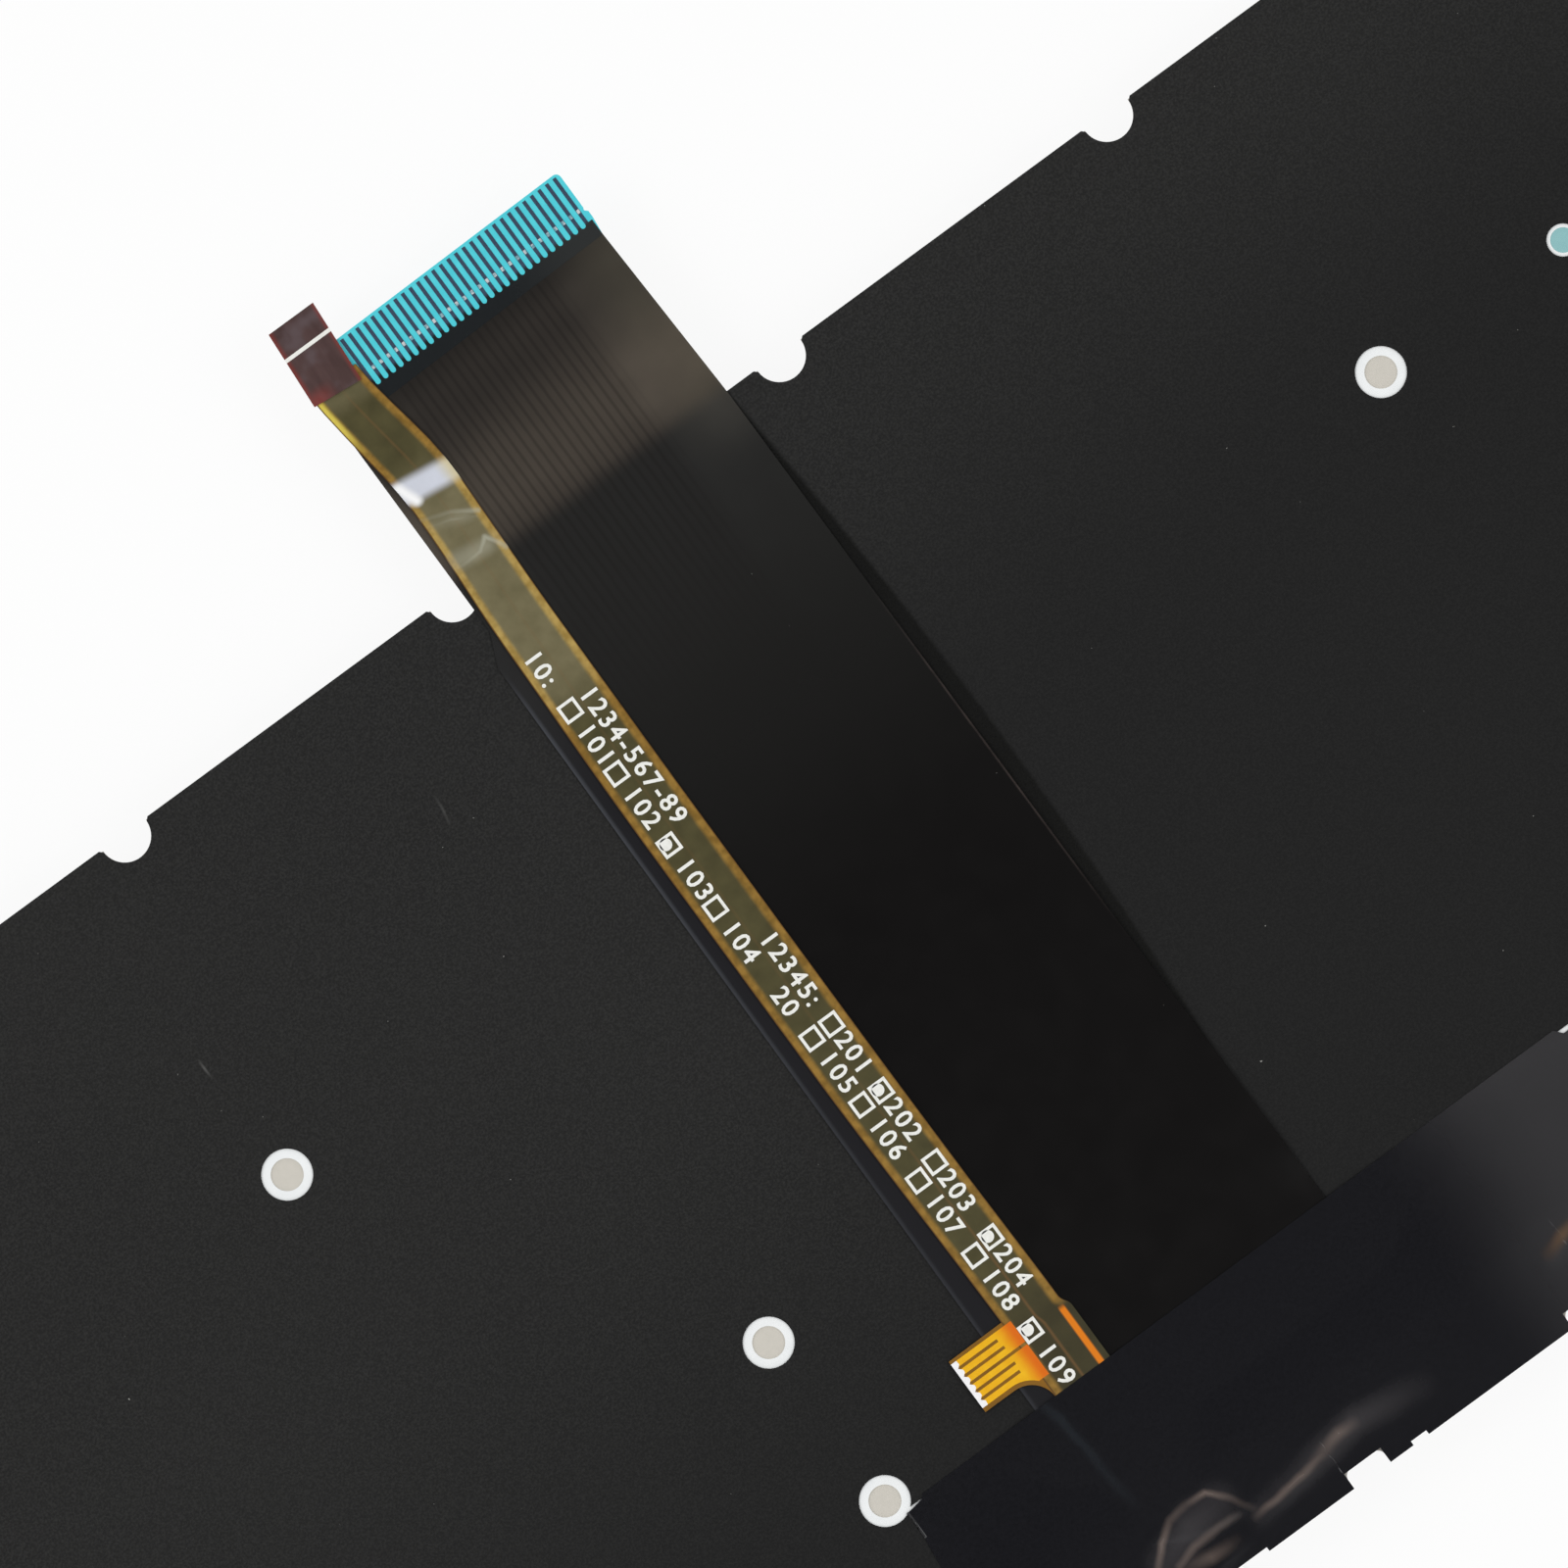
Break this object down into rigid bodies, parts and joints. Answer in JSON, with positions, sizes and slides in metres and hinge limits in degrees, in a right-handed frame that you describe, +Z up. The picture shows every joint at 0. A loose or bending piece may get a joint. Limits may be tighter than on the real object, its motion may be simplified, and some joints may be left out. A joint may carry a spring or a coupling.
{
  "type": "laptop keyboard",
  "caption": "Thin laptop keyboard module lying on its keys: sprung keycaps, metal plate, black back film, wide signal tail and narrow backlight circuit.",
  "frame": {"origin": "middle of the keyboard's outline, on the plane of the key tops that it lies on", "axes": "+X along the key rows from left to right, +Y to the cable edge at the space bar, +Z up through the back"},
  "size_m": [0.285, 0.1329, 0.0053],
  "materials": {
    "keycap_black": "fine matte moulded plastic",
    "plate_aluminium": "plain rolled sheet",
    "membrane_film": "printed black film",
    "guide_clear": "clear moulded sheet",
    "reflector_white": "white film",
    "film_black": "matte black film with a fine grain",
    "tape_black": "glossy thin black tape",
    "tail_black": "black coated film over printed tracks",
    "stiffener_cyan": "cyan film",
    "circuit_amber": "amber film over copper tracks",
    "stiffener_red": "dark red-brown board",
    "lamp_white": "white housing with a pale yellow window",
    "dome_rubber": "pale silicone",
    "link_plastic": "natural acetal"
  },
  "bodies": {
    "module": {"back_film": "film_black", "backlight_circuit": "circuit_amber", "backlight_lamps": "lamp_white", "backlight_stiffener": "stiffener_red", "base_plate": "plate_aluminium", "contact_stiffener": "stiffener_cyan", "cover_tape": "tape_black", "function_keys": "keycap_black", "light_guide": "guide_clear", "membrane": "membrane_film", "modifier_keys": "keycap_black", "number_keys": "keycap_black", "reflector_film": "reflector_white", "rubber_domes": "dome_rubber", "scissor_links": "link_plastic", "signal_tail": "tail_black"},
    "key_a": {"key_a": "keycap_black"},
    "key_b": {"key_b": "keycap_black"},
    "key_backslash": {"key_backslash": "keycap_black"},
    "key_c": {"key_c": "keycap_black"},
    "key_caps_lock": {"key_caps_lock": "keycap_black"},
    "key_close_bracket": {"key_close_bracket": "keycap_black"},
    "key_comma": {"key_comma": "keycap_black"},
    "key_d": {"key_d": "keycap_black"},
    "key_down": {"key_down": "keycap_black"},
    "key_e": {"key_e": "keycap_black"},
    "key_enter": {"key_enter": "keycap_black"},
    "key_f": {"key_f": "keycap_black"},
    "key_g": {"key_g": "keycap_black"},
    "key_h": {"key_h": "keycap_black"},
    "key_i": {"key_i": "keycap_black"},
    "key_j": {"key_j": "keycap_black"},
    "key_k": {"key_k": "keycap_black"},
    "key_l": {"key_l": "keycap_black"},
    "key_left": {"key_left": "keycap_black"},
    "key_left_shift": {"key_left_shift": "keycap_black"},
    "key_m": {"key_m": "keycap_black"},
    "key_n": {"key_n": "keycap_black"},
    "key_o": {"key_o": "keycap_black"},
    "key_open_bracket": {"key_open_bracket": "keycap_black"},
    "key_p": {"key_p": "keycap_black"},
    "key_period": {"key_period": "keycap_black"},
    "key_q": {"key_q": "keycap_black"},
    "key_quote": {"key_quote": "keycap_black"},
    "key_r": {"key_r": "keycap_black"},
    "key_right": {"key_right": "keycap_black"},
    "key_right_shift": {"key_right_shift": "keycap_black"},
    "key_s": {"key_s": "keycap_black"},
    "key_semicolon": {"key_semicolon": "keycap_black"},
    "key_slash": {"key_slash": "keycap_black"},
    "key_space": {"key_space": "keycap_black"},
    "key_t": {"key_t": "keycap_black"},
    "key_tab": {"key_tab": "keycap_black"},
    "key_u": {"key_u": "keycap_black"},
    "key_up": {"key_up": "keycap_black"},
    "key_v": {"key_v": "keycap_black"},
    "key_w": {"key_w": "keycap_black"},
    "key_x": {"key_x": "keycap_black"},
    "key_y": {"key_y": "keycap_black"},
    "key_z": {"key_z": "keycap_black"}
  },
  "joints": [
    {"name": "key_a_press", "type": "slide", "parent": "module", "child": "key_a", "axis": [0, 0, 1], "range_m": [0, 0.0015], "stiffness_N_per_m": 400, "deforming": ["rubber_domes", "scissor_links"]},
    {"name": "key_b_press", "type": "slide", "parent": "module", "child": "key_b", "axis": [0, 0, 1], "range_m": [0, 0.0015], "stiffness_N_per_m": 400, "deforming": ["rubber_domes", "scissor_links"]},
    {"name": "key_backslash_press", "type": "slide", "parent": "module", "child": "key_backslash", "axis": [0, 0, 1], "range_m": [0, 0.0015], "stiffness_N_per_m": 400, "deforming": ["rubber_domes", "scissor_links"]},
    {"name": "key_c_press", "type": "slide", "parent": "module", "child": "key_c", "axis": [0, 0, 1], "range_m": [0, 0.0015], "stiffness_N_per_m": 400, "deforming": ["rubber_domes", "scissor_links"]},
    {"name": "key_caps_lock_press", "type": "slide", "parent": "module", "child": "key_caps_lock", "axis": [0, 0, 1], "range_m": [0, 0.0015], "stiffness_N_per_m": 400, "deforming": ["rubber_domes", "scissor_links"]},
    {"name": "key_close_bracket_press", "type": "slide", "parent": "module", "child": "key_close_bracket", "axis": [0, 0, 1], "range_m": [0, 0.0015], "stiffness_N_per_m": 400, "deforming": ["rubber_domes", "scissor_links"]},
    {"name": "key_comma_press", "type": "slide", "parent": "module", "child": "key_comma", "axis": [0, 0, 1], "range_m": [0, 0.0015], "stiffness_N_per_m": 400, "deforming": ["rubber_domes", "scissor_links"]},
    {"name": "key_d_press", "type": "slide", "parent": "module", "child": "key_d", "axis": [0, 0, 1], "range_m": [0, 0.0015], "stiffness_N_per_m": 400, "deforming": ["rubber_domes", "scissor_links"]},
    {"name": "key_down_press", "type": "slide", "parent": "module", "child": "key_down", "axis": [0, 0, 1], "range_m": [0, 0.0015], "stiffness_N_per_m": 400, "deforming": ["rubber_domes", "scissor_links"]},
    {"name": "key_e_press", "type": "slide", "parent": "module", "child": "key_e", "axis": [0, 0, 1], "range_m": [0, 0.0015], "stiffness_N_per_m": 400, "deforming": ["rubber_domes", "scissor_links"]},
    {"name": "key_enter_press", "type": "slide", "parent": "module", "child": "key_enter", "axis": [0, 0, 1], "range_m": [0, 0.0015], "stiffness_N_per_m": 400, "deforming": ["rubber_domes", "scissor_links"]},
    {"name": "key_f_press", "type": "slide", "parent": "module", "child": "key_f", "axis": [0, 0, 1], "range_m": [0, 0.0015], "stiffness_N_per_m": 400, "deforming": ["rubber_domes", "scissor_links"]},
    {"name": "key_g_press", "type": "slide", "parent": "module", "child": "key_g", "axis": [0, 0, 1], "range_m": [0, 0.0015], "stiffness_N_per_m": 400, "deforming": ["rubber_domes", "scissor_links"]},
    {"name": "key_h_press", "type": "slide", "parent": "module", "child": "key_h", "axis": [0, 0, 1], "range_m": [0, 0.0015], "stiffness_N_per_m": 400, "deforming": ["rubber_domes", "scissor_links"]},
    {"name": "key_i_press", "type": "slide", "parent": "module", "child": "key_i", "axis": [0, 0, 1], "range_m": [0, 0.0015], "stiffness_N_per_m": 400, "deforming": ["rubber_domes", "scissor_links"]},
    {"name": "key_j_press", "type": "slide", "parent": "module", "child": "key_j", "axis": [0, 0, 1], "range_m": [0, 0.0015], "stiffness_N_per_m": 400, "deforming": ["rubber_domes", "scissor_links"]},
    {"name": "key_k_press", "type": "slide", "parent": "module", "child": "key_k", "axis": [0, 0, 1], "range_m": [0, 0.0015], "stiffness_N_per_m": 400, "deforming": ["rubber_domes", "scissor_links"]},
    {"name": "key_l_press", "type": "slide", "parent": "module", "child": "key_l", "axis": [0, 0, 1], "range_m": [0, 0.0015], "stiffness_N_per_m": 400, "deforming": ["rubber_domes", "scissor_links"]},
    {"name": "key_left_press", "type": "slide", "parent": "module", "child": "key_left", "axis": [0, 0, 1], "range_m": [0, 0.0015], "stiffness_N_per_m": 400, "deforming": ["rubber_domes", "scissor_links"]},
    {"name": "key_left_shift_press", "type": "slide", "parent": "module", "child": "key_left_shift", "axis": [0, 0, 1], "range_m": [0, 0.0015], "stiffness_N_per_m": 400, "deforming": ["rubber_domes", "scissor_links"]},
    {"name": "key_m_press", "type": "slide", "parent": "module", "child": "key_m", "axis": [0, 0, 1], "range_m": [0, 0.0015], "stiffness_N_per_m": 400, "deforming": ["rubber_domes", "scissor_links"]},
    {"name": "key_n_press", "type": "slide", "parent": "module", "child": "key_n", "axis": [0, 0, 1], "range_m": [0, 0.0015], "stiffness_N_per_m": 400, "deforming": ["rubber_domes", "scissor_links"]},
    {"name": "key_o_press", "type": "slide", "parent": "module", "child": "key_o", "axis": [0, 0, 1], "range_m": [0, 0.0015], "stiffness_N_per_m": 400, "deforming": ["rubber_domes", "scissor_links"]},
    {"name": "key_open_bracket_press", "type": "slide", "parent": "module", "child": "key_open_bracket", "axis": [0, 0, 1], "range_m": [0, 0.0015], "stiffness_N_per_m": 400, "deforming": ["rubber_domes", "scissor_links"]},
    {"name": "key_p_press", "type": "slide", "parent": "module", "child": "key_p", "axis": [0, 0, 1], "range_m": [0, 0.0015], "stiffness_N_per_m": 400, "deforming": ["rubber_domes", "scissor_links"]},
    {"name": "key_period_press", "type": "slide", "parent": "module", "child": "key_period", "axis": [0, 0, 1], "range_m": [0, 0.0015], "stiffness_N_per_m": 400, "deforming": ["rubber_domes", "scissor_links"]},
    {"name": "key_q_press", "type": "slide", "parent": "module", "child": "key_q", "axis": [0, 0, 1], "range_m": [0, 0.0015], "stiffness_N_per_m": 400, "deforming": ["rubber_domes", "scissor_links"]},
    {"name": "key_quote_press", "type": "slide", "parent": "module", "child": "key_quote", "axis": [0, 0, 1], "range_m": [0, 0.0015], "stiffness_N_per_m": 400, "deforming": ["rubber_domes", "scissor_links"]},
    {"name": "key_r_press", "type": "slide", "parent": "module", "child": "key_r", "axis": [0, 0, 1], "range_m": [0, 0.0015], "stiffness_N_per_m": 400, "deforming": ["rubber_domes", "scissor_links"]},
    {"name": "key_right_press", "type": "slide", "parent": "module", "child": "key_right", "axis": [0, 0, 1], "range_m": [0, 0.0015], "stiffness_N_per_m": 400, "deforming": ["rubber_domes", "scissor_links"]},
    {"name": "key_right_shift_press", "type": "slide", "parent": "module", "child": "key_right_shift", "axis": [0, 0, 1], "range_m": [0, 0.0015], "stiffness_N_per_m": 400, "deforming": ["rubber_domes", "scissor_links"]},
    {"name": "key_s_press", "type": "slide", "parent": "module", "child": "key_s", "axis": [0, 0, 1], "range_m": [0, 0.0015], "stiffness_N_per_m": 400, "deforming": ["rubber_domes", "scissor_links"]},
    {"name": "key_semicolon_press", "type": "slide", "parent": "module", "child": "key_semicolon", "axis": [0, 0, 1], "range_m": [0, 0.0015], "stiffness_N_per_m": 400, "deforming": ["rubber_domes", "scissor_links"]},
    {"name": "key_slash_press", "type": "slide", "parent": "module", "child": "key_slash", "axis": [0, 0, 1], "range_m": [0, 0.0015], "stiffness_N_per_m": 400, "deforming": ["rubber_domes", "scissor_links"]},
    {"name": "key_space_press", "type": "slide", "parent": "module", "child": "key_space", "axis": [0, 0, 1], "range_m": [0, 0.0015], "stiffness_N_per_m": 400, "deforming": ["rubber_domes", "scissor_links"]},
    {"name": "key_t_press", "type": "slide", "parent": "module", "child": "key_t", "axis": [0, 0, 1], "range_m": [0, 0.0015], "stiffness_N_per_m": 400, "deforming": ["rubber_domes", "scissor_links"]},
    {"name": "key_tab_press", "type": "slide", "parent": "module", "child": "key_tab", "axis": [0, 0, 1], "range_m": [0, 0.0015], "stiffness_N_per_m": 400, "deforming": ["rubber_domes", "scissor_links"]},
    {"name": "key_u_press", "type": "slide", "parent": "module", "child": "key_u", "axis": [0, 0, 1], "range_m": [0, 0.0015], "stiffness_N_per_m": 400, "deforming": ["rubber_domes", "scissor_links"]},
    {"name": "key_up_press", "type": "slide", "parent": "module", "child": "key_up", "axis": [0, 0, 1], "range_m": [0, 0.0015], "stiffness_N_per_m": 400, "deforming": ["rubber_domes", "scissor_links"]},
    {"name": "key_v_press", "type": "slide", "parent": "module", "child": "key_v", "axis": [0, 0, 1], "range_m": [0, 0.0015], "stiffness_N_per_m": 400, "deforming": ["rubber_domes", "scissor_links"]},
    {"name": "key_w_press", "type": "slide", "parent": "module", "child": "key_w", "axis": [0, 0, 1], "range_m": [0, 0.0015], "stiffness_N_per_m": 400, "deforming": ["rubber_domes", "scissor_links"]},
    {"name": "key_x_press", "type": "slide", "parent": "module", "child": "key_x", "axis": [0, 0, 1], "range_m": [0, 0.0015], "stiffness_N_per_m": 400, "deforming": ["rubber_domes", "scissor_links"]},
    {"name": "key_y_press", "type": "slide", "parent": "module", "child": "key_y", "axis": [0, 0, 1], "range_m": [0, 0.0015], "stiffness_N_per_m": 400, "deforming": ["rubber_domes", "scissor_links"]},
    {"name": "key_z_press", "type": "slide", "parent": "module", "child": "key_z", "axis": [0, 0, 1], "range_m": [0, 0.0015], "stiffness_N_per_m": 400, "deforming": ["rubber_domes", "scissor_links"]}
  ]
}
